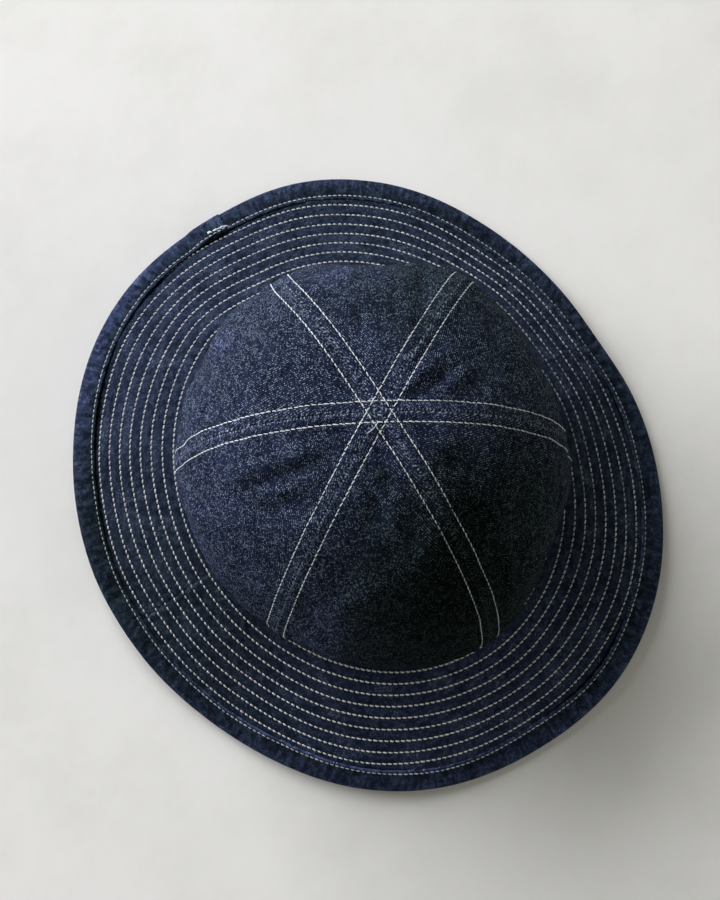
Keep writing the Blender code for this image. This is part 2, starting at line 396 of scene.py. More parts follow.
# name of the gore that starts at the seam, where the seam meets the brim
GORE_SEAMS = (
    ("crown_panel_left_back", 29.1),
    ("crown_panel_right_back", 90.4),
    ("crown_panel_right", 150.4),
    ("crown_panel_right_front", 209.0),
    ("crown_panel_left_front", 271.4),
    ("crown_panel_left", 329.5),
)
SEAM_ANGLES = np.array([angle for _, angle in GORE_SEAMS])

LAYER_LIFT = (CLEARANCE + CLOTH) / 2
BINDING_LIFT = LAYER_LIFT + CLOTH + FOLD_CLEARANCE
NOSE_RADIUS = BINDING_LIFT + CLOTH / 2
NOSE_OUT = BRIM_WIDTH - NOSE_RADIUS
STAND_INSET = 2 * CLOTH + CLEARANCE + FOLD_CLEARANCE + CLOTH / 2
CROWN_BASE_LIFT = LAYER_LIFT + CLOTH / 2 + 2 * CLEARANCE
FULL_TURN = 360.0


def column_at(table, column, angle):
    """A column of a table of even steps round the hat, read smoothly at any angle."""
    count = len(table)
    place = np.mod(angle, FULL_TURN) / FULL_TURN * count
    first = np.floor(place).astype(int)
    t = place - first
    before, start, end, after = (
        table[(first + step) % count, column] for step in (-1, 0, 1, 2)
    )
    straight = (end - before) * t
    square = (2 * before - 5 * start + 4 * end - after) * t**2
    cube = (3 * start - before - 3 * end + after) * t**3
    return start + (straight + square + cube) / 2


def towards(angle):
    """The level direction at an angle."""
    turn = np.radians(angle)
    return np.stack((np.cos(turn), np.sin(turn), np.zeros_like(turn)), axis=-1)


def head_oval(angle):
    """The crown seam seen from above: its distance, its point and its outward way."""
    across = towards(angle)
    half = np.array((HEAD_WIDTH / 2, HEAD_LENGTH / 2))
    reach = half[0] * half[1] / np.hypot(half[1] * across[..., 0], half[0] * across[..., 1])
    point = across * reach[..., None]
    outward = np.zeros_like(point)
    outward[..., :2] = point[..., :2] / half**2
    outward /= np.linalg.norm(outward, axis=-1, keepdims=True)
    return reach, point, outward


def nose_height(angle):
    """Height of the middle of the rolled edge over the edge's lowest place."""
    return NOSE_RADIUS + column_at(SECTIONS, EDGE_COLUMN, angle) * SEAM_HEIGHT


def seam_height(angle):
    return column_at(SECTIONS, SEAM_COLUMN, angle) * SEAM_HEIGHT


def sway(angle, out):
    """How far the brim's cloth lies out of its even round."""
    quilt = column_at(BRIM_SWAY, SWAY_QUILT, angle) * np.minimum(1, out / QUILT_OUT) ** 2
    edge = column_at(BRIM_SWAY, SWAY_EDGE, angle) - column_at(BRIM_SWAY, SWAY_QUILT, angle)
    past = np.clip((out - QUILT_OUT) / (BRIM_WIDTH - QUILT_OUT), 0, 1)
    return (quilt + edge * past) / 1000


def brim_point(angle, out, lift, swaying=1.0):
    """A point of the brim, and its outward normal; out runs along the cloth."""
    out = out + sway(angle, out) * swaying
    _, seam, outward = head_oval(angle)
    height = seam_height(angle)
    slope = np.arcsin((height - nose_height(angle)) / NOSE_OUT)
    along = out * np.cos(slope) + lift * np.sin(slope)
    up = height - out * np.sin(slope) + lift * np.cos(slope) - SETTLE
    point = seam + outward * along[..., None]
    point[..., 2] = up
    normal = outward * np.sin(slope)[..., None]
    normal[..., 2] = np.cos(slope)
    return point, normal


def wrapped(angle):
    """An angle brought to within half a turn of nought."""
    return np.mod(angle + FULL_TURN / 2, FULL_TURN) - FULL_TURN / 2


def fade(value, start, end):
    """0 before start and 1 after end, smoothly."""
    t = np.clip((value - start) / (end - start), 0, 1)
    return t * t * (3 - 2 * t)


def hump(value, middle, width):
    return np.exp(-(((value - middle) / width) ** 2))


QUILT_OUT = 0.0530          # from the crown seam to the spiral's first turn
STATIONS = 48
ROUND = np.arange(STATIONS) * FULL_TURN / STATIONS
SETTLE = nose_height(ROUND).min() - NOSE_RADIUS + FLOOR_PRESS
MEAN_SEAM = SEAM_HEIGHT * SECTIONS[:, SEAM_COLUMN].mean()
CROWN_TOP = MEAN_SEAM + CROWN_RISE - SETTLE
outline, _ = brim_point(ROUND, BRIM_WIDTH, 0.0, swaying=0.0)
MIDDLE = (outline.min(axis=0) + outline.max(axis=0)) / 2 * (1, 1, 0)
BACK_SEAM = SEAM_ANGLES[1]
BACK_SEAM_DRAWN = 5.0       # degrees that its foot is drawn to one side
DRAWN_WIDE = 26.0           # and how far round the hat the cloth goes along with it

# The small steps by which the direction of the crown's face is found.
STEP_DEG, STEP_RISE, HIGHEST_RISE = 0.2, 0.002, 0.9995


def crown_radius(angle, rise):
    """Distance from the crown's leaning axis to its outer face."""
    reach, _, _ = head_oval(angle)
    profile = (1 - np.minimum(1, rise) ** CROWN_ROUNDNESS) ** (1 / CROWN_FULLNESS)
    swell = np.sin(np.pi * rise**BULGE_HEIGHT)
    bulge = 1 + column_at(SECTIONS, BULGE_COLUMN, angle) * swell
    nearest = np.abs(wrapped(np.asarray(angle)[..., None] - SEAM_ANGLES)).min(axis=-1)
    share = np.minimum(1, nearest * len(SEAM_ANGLES) / (FULL_TURN / 2))
    between = (1 - np.cos(np.pi * share)) / 2
    flat = 1 - GORE_FLATNESS * between * np.sin(np.pi * rise)
    fold = 0.0
    for around, middle, wide, tall, depth in CROWN_FOLDS:
        turn = wrapped(angle - around)
        fold = fold + depth * np.exp(-((turn / wide) ** 2) - ((rise - middle) / tall) ** 2)
    return reach * profile * bulge * flat + fold * CROWN_RISE * swell


def crown_point(angle, rise):
    """A point of the crown's outer face; rise is 0 at the brim and 1 at the top."""
    rise = np.asarray(rise)
    base = seam_height(angle) + CROWN_BASE_LIFT - SETTLE
    drawn = BACK_SEAM_DRAWN * hump(wrapped(angle - BACK_SEAM), 0.0, DRAWN_WIDE)
    drawn = drawn * (1 - fade(rise, 0.25, 0.85))
    point = towards(angle - drawn) * crown_radius(angle, rise)[..., None]
    point = point + CROWN_LEAN * rise[..., None]
    point[..., 2] = base + (CROWN_TOP - base) * rise
    return point


def crown_normal(angle, rise):
    """The crown's outward direction, taken from small steps on its face."""
    low = np.clip(rise - STEP_RISE, 0, HIGHEST_RISE - STEP_RISE / 2)
    high = np.clip(rise + STEP_RISE, STEP_RISE, HIGHEST_RISE)
    around = crown_point(angle + STEP_DEG, low) - crown_point(angle - STEP_DEG, low)
    upwards = crown_point(angle, high) - crown_point(angle, low)
    normal = np.cross(around, upwards)
    return normal / np.linalg.norm(normal, axis=-1, keepdims=True)


WAVE_TRAINS = 12


def ripples(point, spacing, seed):
    """Smooth random waves about so far apart, from about -2 to 2."""
    random = np.random.default_rng(seed)
    total = np.zeros(point.shape[:-1])
    for _ in range(WAVE_TRAINS):
        way = random.normal(size=3)
        way *= 2 * np.pi / (np.linalg.norm(way) * spacing * random.uniform(0.7, 1.6))
        total += np.sin(point @ way + random.uniform(0, 2 * np.pi))
    return total / math.sqrt(WAVE_TRAINS / 2)


TWIN_ROW_OUT = 0.00475      # from the seam to each row of stitching beside it
SEAM_ALLOWANCE = 0.0058
ALLOWANCE_MOST = 0.40       # share of a narrow gore that an allowance takes up
GORE_CLOTH = 0.0006
FOLD_DEEP = 0.00032         # half the depth of a pressed fold's middle line
FOLD_WIDE = 0.00010         # and how far it bulges sideways
SEAM_GAP = 0.00001          # half the gap left between two folded edges

# How far sewing and wear move the crown's face.
DOUBLED_LIFT = 0.00034      # out, over the allowances
ALLOWANCE_EDGE = (0.0052, 0.0078)
FOLD_LIFT = 0.00012         # out, where a fold rounds over
FOLD_OUT, FOLD_ROUND = 0.0017, 0.0013
ROW_PULL = 0.00030          # in, along a row of stitching
ROW_GROOVE = 0.0009         # how wide that is
PUCKER_PITCH = 0.0086
PUCKER_INSIDE = 0.00008     # puckers between a seam's two rows
PUCKER_OUTSIDE = 0.00024    # and past them
CREASE_DEEP = 0.00040       # fine random creases

# high, spacing, seed
CROWN_WAVES = ((0.00050, 0.050, 11), (0.00032, 0.021, 12), (0.00012, 0.008, 14))


def creased(point):
    """How far the small creases lift a place of the crown."""
    lift = 0.0
    for from_x, from_y, to_x, to_y, wide, high in CREASES:
        start = np.array((from_x, from_y)) / 1000
        way = np.array((to_x, to_y)) / 1000 - start
        share = np.clip((point[..., :2] - start) @ way / (way @ way), 0, 1)
        off = np.linalg.norm(point[..., :2] - start - share[..., None] * way, axis=-1)
        tapered = 0.25 + 0.75 * np.sin(np.pi * np.clip(share, 0.05, 0.95))
        lift = lift + high / 1000 * tapered * np.exp(-((off * 1000 / wide) ** 2))
    return lift


def crown_relief(angle, rise, point):
    """How far sewing, washing and wear lift the crown's face, its wear, and the seam's way off."""
    radius = crown_radius(angle, rise)[..., None]
    turn = np.radians(wrapped(angle[..., None] - SEAM_ANGLES))
    beside = radius * np.sin(turn)
    aside = np.abs(beside)
    side = fade(radius * np.cos(turn), -0.002, 0.002)
    climb = point[..., 2:3] + radius * 0.8
    wander = ripples(point, 0.012, 5)[..., None]
    pucker = np.sin(2 * np.pi * (climb + 0.7 * aside) / PUCKER_PITCH + 2.2 * wander)
    doubled = 1 - fade(aside, *ALLOWANCE_EDGE)
    outside = fade(aside, 0.0045, 0.0065) * np.exp(-np.maximum(0, aside - 0.006) / 0.007)
    lift = (
        DOUBLED_LIFT * doubled
        + FOLD_LIFT * hump(aside, FOLD_OUT, FOLD_ROUND)
        + PUCKER_INSIDE * doubled * pucker
        - ROW_PULL * hump(aside, TWIN_ROW_OUT, ROW_GROOVE)
        + PUCKER_OUTSIDE * outside * pucker
    ) * side
    most = lift.max(axis=-1)
    least = lift.min(axis=-1)
    total = np.where(most > -least, most, least) * 0.6 + lift.sum(axis=-1) * 0.4
    wall = fade(rise, 0.0, 0.12) * fade(radius[..., 0], 0.003, 0.010)
    waves = sum(high * ripples(point, spacing, seed) for high, spacing, seed in CROWN_WAVES)
    crease = CREASE_DEEP * hump(ripples(point, 0.045, 13), 0.0, 0.20)
    total = total + (waves - crease + creased(point)) * wall
    worn = 0.16 * fade(ripples(point, 0.020, 15), 0.3, 1.6) + 0.30 * hump(rise, 0.0, 0.012)
    off = np.where(side > 0.5, aside, 1.0).min(axis=-1)
    return total, np.clip(worn, 0, 1), np.minimum(off, 0.02)


def lay_cloth(name, points, across, along, thickness, **layers):
    """A sheet of cloth through a grid of points, with its weave's own coordinates.

    Each layer is a value for every point, such as how worn the cloth is there.
    """
    rows, columns = points.shape[:2]
    mesh = bpy.data.meshes.new(name)
    corner = (np.arange(rows - 1)[:, None] * columns + np.arange(columns - 1)).ravel()
    faces = np.stack((corner, corner + 1, corner + columns + 1, corner + columns), axis=-1)
    mesh.from_pydata((points - MIDDLE).reshape(-1, 3).tolist(), [], faces.tolist())
    weave = np.stack(np.broadcast_arrays(across, along), axis=-1).reshape(-1, 2)
    layer = mesh.uv_layers.new(name="weave")
    layer.data.foreach_set("uv", weave[faces.ravel()].astype(np.float32).ravel())
    for label, values in layers.items():
        layer = mesh.attributes.new(label, "FLOAT", "POINT")
        layer.data.foreach_set("value", values.astype(np.float32).ravel())
    mesh.shade_smooth()
    piece = bpy.data.objects.new(name, mesh)
    bpy.context.scene.collection.objects.link(piece)
    wall = piece.modifiers.new("cloth", "SOLIDIFY")
    wall.thickness = thickness
    wall.offset = 0
    return piece


def run_length(points):
    """How far along a line of points each of them lies."""
    return np.append(0, np.cumsum(np.linalg.norm(np.diff(points, axis=0), axis=-1)))


def sheet_size(points):
    """The flat size that a grid of cloth was cut to, and its area."""
    down = np.linalg.norm(np.diff(points, axis=0), axis=-1)
    over = np.linalg.norm(np.diff(points, axis=1), axis=-1)
    area = ((down[:, 1:] + down[:, :-1]) / 2 * (over[1:] + over[:-1]) / 2).sum()
    return over.sum(axis=1).max(), down.sum(axis=0).max(), area


HALF_COLUMNS = 44           # of the cloth's grid, from a seam to a gore's middle
COLUMN_PITCH = 0.00042      # of the columns nearest the seam
GORE_ROWS = 120
TRACK_POINTS = 600
TOP_OPENING = 0.0001        # how far short of the very top a gore ends
NARROW_GORE = 0.0032        # half width below which the folds get smaller
SEAM_ROLL = np.radians((30, 60, 90, 120, 150, 180))
HEM_ROLL = np.radians((170, 135, 90, 45))
HEM_BEHIND = np.array((0.0062, 0.0030))      # how high the hem's rows stand behind
HEM_PLACES = np.array((-0.009, -0.006, -0.002, -0.0015, -0.001, -0.0005))
TOP_DISC, WALL_FROM = 0.010, 0.070           # the crown's painted light and shade set in between these, from the axis


def gore_rows(middle):
    """A gore's rows: how high each is, how deep, how far dropped and where on the cloth.

    The lowest rows are the hem, which turns in under the crown's edge and up behind it.
    """
    arc = np.linspace(0, np.pi / 2, TRACK_POINTS)
    climb = np.sin(arc) ** (2 / CROWN_ROUNDNESS)
    length = run_length(crown_point(middle, climb))
    places = np.linspace(0, length[-1] - TOP_OPENING, GORE_ROWS)
    rises = np.sin(np.interp(places, length, arc)) ** (2 / CROWN_ROUNDNESS)
    level = np.zeros(GORE_ROWS)
    behind = np.zeros(len(HEM_BEHIND))
    depths = np.concatenate((behind + 2 * FOLD_DEEP, FOLD_DEEP * (1 - np.cos(HEM_ROLL)), level))
    drops = np.concatenate((behind, FOLD_DEEP * np.sin(HEM_ROLL), level))
    rises = np.concatenate((HEM_BEHIND / CROWN_RISE, np.zeros(len(HEM_ROLL)), rises))
    return rises, depths, drops, np.append(HEM_PLACES, places)


def half_gore(seam, way, rises, half_turn):
    """Half a gore, from its allowance round the fold at the seam to the gore's middle.

    Gives each point's angle, its depth under the face, and its place across the cloth.
    """
    radius = crown_radius(seam, rises)
    reach = radius * half_turn
    squeeze = np.minimum(1, reach / NARROW_GORE)
    deep = (FOLD_DEEP * squeeze)[:, None]
    wide = (FOLD_WIDE * squeeze)[:, None]
    start = (SEAM_GAP + FOLD_WIDE + GORE_CLOTH / 2) * squeeze
    inner = (reach - start)[:, None]
    t = np.linspace(0, 1, HALF_COLUMNS)
    even = np.minimum(1, HALF_COLUMNS * COLUMN_PITCH / np.maximum(inner, 1e-5))
    face = start[:, None] + inner * (even * t + (1 - even) * t**1.8)
    rolled = start[:, None] - wide * np.sin(SEAM_ROLL)
    folded = np.minimum(SEAM_ALLOWANCE, 2 * reach * ALLOWANCE_MOST) - start
    back = start[:, None] + folded[:, None] * np.array((0.3, 0.65, 1.0))
    out = np.concatenate((back[:, ::-1], rolled[:, ::-1], face), axis=1)
    rolled_depth = deep * (1 - np.cos(SEAM_ROLL))
    depth = np.concatenate((2 * deep * np.ones(3), rolled_depth[:, ::-1], 0 * inner * t), axis=1)
    weave = np.where(depth > deep, -out, out)
    angle = seam + way * np.degrees(out / radius[:, None])
    return angle, depth, way * (weave - reach[:, None])


def crown_gore(name, first, last):
    """One gore, with its edges rolled over and its allowances pressed back inside."""
    rises, hem_depths, hem_drops, places = gore_rows((first + last) / 2)
    half_turn = np.radians((last - first) / 2)
    angle, depth, across = (
        np.concatenate((start, end[:, -2::-1]), axis=1)
        for start, end in zip(
            half_gore(first, 1, rises, half_turn), half_gore(last, -1, rises, half_turn)
        )
    )
    rise = rises[:, None]
    face = crown_point(angle, rise)
    normal = crown_normal(angle, rise)
    lift, worn, off = crown_relief(angle, rise, face)
    depth = depth + hem_depths[:, None] + GORE_CLOTH / 2
    points = face + normal * (lift - depth)[..., None]
    points[..., 2] -= hem_drops[:, None]
    # Light and shade painted into the crown's colour, carried by the faded attribute: the table's
    # crown column, growing in from the top disc to the wall, and the painted patches.
    from_axis = np.hypot(face[..., 0] - CROWN_LEAN[0], face[..., 1] - CROWN_LEAN[1])
    on_wall = fade(from_axis, TOP_DISC, WALL_FROM)
    faded = 1 + (column_at(PAINTED_LIGHT_AND_STAIN, CROWN_PAINTED_LIGHT, angle) - 1) * on_wall
    for x, y, wide, painted_paler in PAINTED_LIGHT_PATCHES:
        away = np.hypot(face[..., 0] - x / 1000, face[..., 1] - y / 1000)
        faded = faded * (1 + painted_paler * hump(away * 1000, 0.0, wide))
    gore = lay_cloth(
        name, points, across, places[:, None], GORE_CLOTH,
        worn=worn, faded=faded, seam_off=off * 1000,
    )
    return gore, sheet_size(points)


WARP_PITCH = 0.00037
WEFT_PITCH = 0.00046
WEAVE_DEEP = 0.00014
ROPE_PITCH = 0.0038
FLECK_PITCH = 0.0020
FINE_WASH, PATCH_WASH, CLOUD_WASH = 1300.0, 330.0, 42.0     # changes of shade in a metre
VIOLET_WASH = 240.0
CLOTH_ROUGHNESS = 0.92
FULL_CIRCLE = 2 * math.pi
BIAS_TURN = 0.5 ** 0.5
YARN_SHADOW = (0.002, 0.003, 0.006)


def denim(name, dark, faded, pale, grain, specks, blotches, roped=0.0, streaked=0.0):
    """Washed indigo denim: blue warp over white weft, one pick in three showing.

    dark, faded and pale are the dyed yarn, the washed yarn and the weft. grain is how
    unlike neighbouring yarns are, specks how much weft shows, and blotches how uneven the
    dye is. roped is the wear along the seams' ridges, streaked that across a bias strip.
    """
    finish = Finish(name, CLOTH_ROUGHNESS)
    weave = finish.node("UVMap", {"uv_map": "weave"})
    place = finish.node("TexCoord", leaves=3)
    # The faded attribute, read here as level, carries the light and shade painted into the
    # crown's, brim's and binding's colour.
    worn, level, seam_off = (
        finish.node("Attribute", {"attribute_name": label}, leaves=2)
        for label in ("worn", "faded", "seam_off")
    )

    # Ends are warp yarns and picks are weft yarns. Both wander a little, and slubs swell them.
    wander = finish.noise(finish.scaled(weave, (240, 90, 0)), 1.0, 2.0)
    slub = finish.noise(finish.scaled(weave, (1500, 260, 0)), 1.0, 1.0)
    across, along, _ = finish.parts(weave)
    across_yarn = across / WARP_PITCH + (wander - 0.5) * 1.4 + (slub - 0.5) * 0.8
    along_yarn = along / WEFT_PITCH + (wander - 0.5) * 1.4
    end, pick = across_yarn.floor(), along_yarn.floor()
    over_end = (across_yarn - end) * 2.0 - 1.0
    over_pick = (along_yarn - pick) * 2.0 - 1.0
    weft_up = ((end + pick) % 3.0) < 0.5
    cell = finish.node("CombineXYZ", None, {0: end, 1: pick})
    chance = finish.node("TexWhiteNoise", {"noise_dimensions": "2D"}, {"Vector": cell})
    stretch = finish.node("CombineXYZ", None, {0: end, 1: (pick / 7.0 + chance * 0.2).floor()})
    yarn = finish.node("TexWhiteNoise", {"noise_dimensions": "2D"}, {"Vector": stretch})

    # How the wash has gone over the cloth, from yarn to yarn up to broad clouds.
    fine = finish.noise(place, FINE_WASH, 2.0, 0.6)
    patch = finish.noise(place, PATCH_WASH, 4.0, 0.62)
    cloud = finish.noise(place, CLOUD_WASH, 4.0, 0.6)
    fine_high = finish.fade(fine, 0.36, 0.66)
    patch_high = finish.fade(patch, 0.38, 0.64)
    cloud_high = finish.fade(cloud, 0.36, 0.66)

    if roped:
        rope = ((along + seam_off * 0.0006) * (FULL_CIRCLE / ROPE_PITCH) + wander * 5.0).sine()
        ridge = finish.fade(seam_off, 0.3, 1.2) * (1.0 - finish.fade(seam_off, 1.9, 3.2))
        roping = ridge * finish.fade(rope, -0.1, 1.0)
        worn = worn + roping * roped * fine_high
        slanted = (along + across * 0.5) * (FULL_CIRCLE / FLECK_PITCH) + wander * 7.0
        flecks = (1.0 - finish.fade(seam_off, 0.8, 1.4)) * finish.fade(slanted.sine(), 0.3, 0.8)

    # The dye that is left on each yarn, from dark to faded, with violet in places.
    shade = yarn * grain + fine_high * grain + patch_high * 0.45 * blotches + worn * 0.9
    shade = (shade + (cloud_high - 0.5) * 0.18 - 0.1).most(0.0)
    if streaked:
        run = (across - along) * BIAS_TURN
        out = (across + along) * BIAS_TURN
        streak_place = finish.node("CombineXYZ", None, {0: run * 330.0, 1: out * 60.0})
        streaks = finish.fade(finish.noise(streak_place, 1.0, 3.0, 0.6), 0.36, 0.68)
        shade = shade * (1.0 - streaked * 0.75 + streaks * streaked * 1.5)
    blue = finish.mix(shade.least(1.0), dark, faded)
    violet = finish.fade(finish.noise(place, VIOLET_WASH, 2.0, 0.5), 0.46, 0.64)
    violet_dye = (faded[0] * 0.85, faded[1] * 0.66, faded[2] * 0.78)
    blue = finish.mix(violet * 0.25 * blotches, blue, violet_dye)
    blue = finish.mix(over_end * over_end * 0.4 * grain, blue, YARN_SHADOW)

    # The white weft, where it comes up between the ends, and fluff that has worked loose.
    round_dot = (1.0 - over_pick * over_pick) * (1.0 - over_end * over_end) * 1.8
    showing = (chance ** 4.0) * (patch_high * 0.8 + 0.2) * round_dot
    white = weft_up * showing * (worn * 1.5 + specks) * 1.8
    fluff = finish.fade(fine, 0.60, 0.76) * patch_high
    white = white + fluff * chance * (worn * 0.6 + specks * 0.25)
    colour = finish.mix(white.least(1.0), blue, pale)
    if roped:
        colour = finish.mix(flecks * fine_high * (patch_high * 0.6 + 0.5), colour, pale)

    # The level scales the colour with its painted light and shade, and where it is painted
    # lighter the cloth is bluer too.
    level = finish.node("CombineXYZ", None, {0: level, 1: level ** 0.85, 2: level ** 1.2})
    colour = finish.scaled(colour, level)
    height = weft_up * 0.5 - over_end * over_end * 0.5 + fine_high * 0.9 + patch_high * 0.8
    if roped:
        height = height + roping * 1.6 + flecks * 1.5
    finish.bump(height, WEAVE_DEEP, 0.8)
    return finish.paint(colour)


crown_denim = denim(
    "crown_denim", (0.0037, 0.0064, 0.0152), (0.0245, 0.0355, 0.088), (0.42, 0.50, 0.72),
    grain=0.42, specks=1.25, blotches=0.5, roped=0.8,
)
for index, (node, seam) in enumerate(GORE_SEAMS):
    following = GORE_SEAMS[(index + 1) % len(GORE_SEAMS)][1]
    if following < seam:
        following += FULL_TURN
    gore, (gore_width, gore_length, gore_area) = crown_gore(node + "_cloth", seam, following)
    gore.data.materials.append(crown_denim)
    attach(gore, "root")
    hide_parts(node)

# Brim. Two layers of the same denim, each cut in a front and a back half that meet at
# the wearer's sides. One long spiral of stitching quilts the layers together, and
# their inner edges turn up behind the crown's wall.
QUILT_PITCH = 0.006477
QUILT_TURNS = 9
STEP_FROM, STEP_TO = 108.0, 84.0     # on each turn the spiral steps in between these
BRIM_CLOTH = 0.0009
LAYER_EDGE = NOSE_OUT - FOLD_CLEARANCE
QUILT_PUFF = 0.00050        # how far the cloth stands up between two rows
QUILT_PULL = 0.00028        # and how far the rows pull it down
UNEVEN_PUFF = 0.00014
OUTER_PUFF = 0.00035        # extra outside the spiral's first turn, most on the left
SIDE_RIDGE = 0.00036        # beside the side seams
SIDE_GROOVE = 0.00040       # and in them
BRIM_WAVES = 0.00050
STAND_BEND = 0.0006         # of the inner edge, where it turns up
STANDS_AT, STANDS_WIDE = 148, 27     # degrees round the hat
RULE_ROW = 40               # the row whose length measures the weave round the brim
STAND_PLACES = np.array((-0.012, -0.008, -0.004, -0.003))
BESIDE_JOINT = np.array((0, 0.0002, 0.0005, 0.0009, 0.0014, 0.0020))

# name, side, stations round half the brim, distance between rows of its grid
BRIM_LAYERS = (("upper", 1, 236, QUILT_PITCH / 8), ("under", -1, 150, QUILT_PITCH / 5))


def lip_stands(angle):
    """How much the binding's edge stands off the brim at the back right, from 0 to 1."""
    return hump(wrapped(angle - STANDS_AT), 0.0, STANDS_WIDE)


def quilt_step(angle):
    """How far the spiral has stepped in at an angle, as a share of its pitch."""
    past = np.mod(STEP_FROM - angle, FULL_TURN)
    return fade(past, 0.0, STEP_FROM - STEP_TO)


def brim_relief(angle, out, point, side_seam):
    """How far the quilting puffs a layer out, how both layers wave, and their wear."""
    turn = (QUILT_OUT - out) / QUILT_PITCH + 1 - quilt_step(angle)
    ridge = np.abs(np.sin(np.pi * turn))
    ripple = ripples(point * (1, 1, 0.2), 0.009, 31)
    puff = QUILT_PUFF * ridge * (1 + 0.20 * ripple) - QUILT_PULL
    puff = puff + UNEVEN_PUFF * ridge * ripples(point, 0.0046, 32)
    outermost = hump(out, QUILT_OUT + QUILT_PITCH * 0.3, 0.0016)
    puff = puff + OUTER_PUFF * outermost * (1 + np.cos(np.radians(angle - 5)))
    waves = BRIM_WAVES * ripples(point, 0.060, 33) * fade(out, 0.004, 0.02)
    ridges = SIDE_RIDGE * hump(side_seam, 0.0020, 0.0016)
    grooves = SIDE_GROOVE * hump(side_seam, 0.0, 0.0005)
    worn = 0.08 * ridge + 0.30 * hump(side_seam, 0.0012, 0.0007) * ridge
    rubbed = 0.22 * fade(ripples(point, 0.016, 34), 0.2, 1.6)
    return puff + (ridges - grooves), waves, np.clip(worn + rubbed, 0, 1)


def brim_face(angle, out, side):
    """The middle of a layer's cloth, the way out from it, and its wear."""
    flat, normal = brim_point(angle, out, side * LAYER_LIFT)
    reach = np.hypot(flat[..., 0], flat[..., 1])
    side_seam = reach * np.radians(wrapped(2 * angle) / 2)
    puff, waves, worn = brim_relief(angle, out, flat, side_seam)
    return flat + normal * (side * puff + waves)[..., None], normal * side, worn


def inner_edge(angles, side):
    """The inner edge of a layer, turned up behind the crown's wall, as four rows of points."""
    inset = STAND_INSET + (0 if side > 0 else CLOTH + CLEARANCE)
    _, _, outward = head_oval(angles)
    base = crown_point(angles, 0.0)
    level = seam_height(angles) + side * LAYER_LIFT - SETTLE
    rows = []
    for share in (1, 0.5):
        wall = crown_point(angles, share * STAND_HEIGHT / CROWN_RISE)
        splay = ((wall - base) * outward).sum(axis=-1) / (wall - base)[:, 2]
        rows.append(wall - outward * (inset * np.hypot(1, splay))[:, None])
    drop = (base[:, 2] - level) * splay
    foot = base - outward * (inset * np.hypot(1, splay) + drop)[:, None]
    foot[:, 2] = level + STAND_BEND
    toe = foot + outward * STAND_BEND
    toe[:, 2] = level
    return np.stack((*rows, foot, toe), axis=1)


def brim_layer(name, side, first, last, stations, spacing):
    """Half of one layer of the brim; side is 1 for the upper one, -1 for the under."""
    joint = math.degrees(SEAM_GAP / HEAD_WIDTH)
    beside = np.degrees(BESIDE_JOINT / HEAD_WIDTH)
    middle = np.linspace(first + 1.1, last - 1.1, stations)
    angles = np.concatenate((first + joint + beside, middle, last - joint - beside[::-1]))
    outs = np.arange((QUILT_OUT - 0.0012) % spacing + 0.0012, LAYER_EDGE, spacing)
    points, _, worn = brim_face(angles[:, None], outs, side)
    points = np.concatenate((inner_edge(angles, side), points), axis=1)
    worn = np.concatenate((np.zeros((len(angles), len(STAND_PLACES))), worn), axis=1)
    row = np.concatenate((STAND_PLACES, outs))
    ring = run_length(points[:, RULE_ROW])[:, None]
    # Light and shade painted into the brim's colour, carried by the faded attribute: the table's
    # brim column round the hat, and a painted shadow of the binding's lifted lip at the back
    # right, just outside the spiral's first turn.
    faded = column_at(PAINTED_LIGHT_AND_STAIN, BRIM_PAINTED_LIGHT, angles)[:, None]
    lip_shadow = lip_stands(angles)[:, None] * fade(row, QUILT_OUT + 0.0008, QUILT_OUT + 0.0020)
    faded = faded * (1 - 0.5 * lip_shadow)
    layer = lay_cloth(name, points, row, ring, BRIM_CLOTH, worn=worn, faded=faded)
    return layer, sheet_size(points)


brim_denim = denim(
    "brim_denim", (0.0044, 0.0084, 0.0172), (0.0280, 0.042, 0.083), (0.32, 0.37, 0.50),
    grain=0.24, specks=0.10, blotches=1.2,
)
for half, first in (("back", 0.0), ("front", FULL_TURN / 2)):
    for layer_name, side, stations, spacing in BRIM_LAYERS:
        node = f"brim_{layer_name}_{half}"
        layer, (layer_width, layer_length, layer_area) = brim_layer(
            node + "_cloth", side, first, first + FULL_TURN / 2, stations, spacing
        )
        layer.data.materials.append(brim_denim)
        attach(layer, "root")
        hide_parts(node)

# Binding. A strip of the same denim cut on the bias and folded round the brim's edge,
# with both its edges turned under. One end, folded in, laps over the other at the back.
BINDING_WIDTH = 0.0143
BINDING_ROW_OUT = 0.0583    # from the crown seam to the row that holds the binding
BINDING_JOINT = 89.5
LIP_LIFT = 0.0012           # how far the lip gapes by the joint
GAPES_AT, GAPES_WIDE = 89.0, 2.6     # degrees round the hat, as are the next two
PALE_AT, PALE_WIDE = 238, 42         # where the lip's fold is paler, at the front right
BINDING_LAP = 0.012
BINDING_RAMP = 0.008
BINDING_CLOTH = 0.0007
BINDING_STATIONS = 620
BINDING_TOP = BINDING_LIFT + 0.0001
LIP_OUT = BRIM_WIDTH - BINDING_WIDTH
TURNED_UNDER = 0.0065
LIP_ROLL = 0.00036
BIAS_PITCH = 0.0078         # of the puckers that a bias strip takes when it is washed
BIAS_PUCKER = 0.00042
PUCKERS_FROM = (0.0585, 0.0625)      # they begin in between these, from the crown seam out
PUFF_LIFT = 0.00045         # halfway to the edge, where the strip is full
PUFF_OUT, PUFF_WIDE = 0.0645, 0.0034
ROW_DEEP = 0.00050          # where its row pulls it in
LIP_WAVES = 0.00020
BESIDE_ROW = (-0.0007, 0.0, 0.0007, 0.0014, 0.0023, 0.0035, 0.0050, 0.0066, 0.0082)


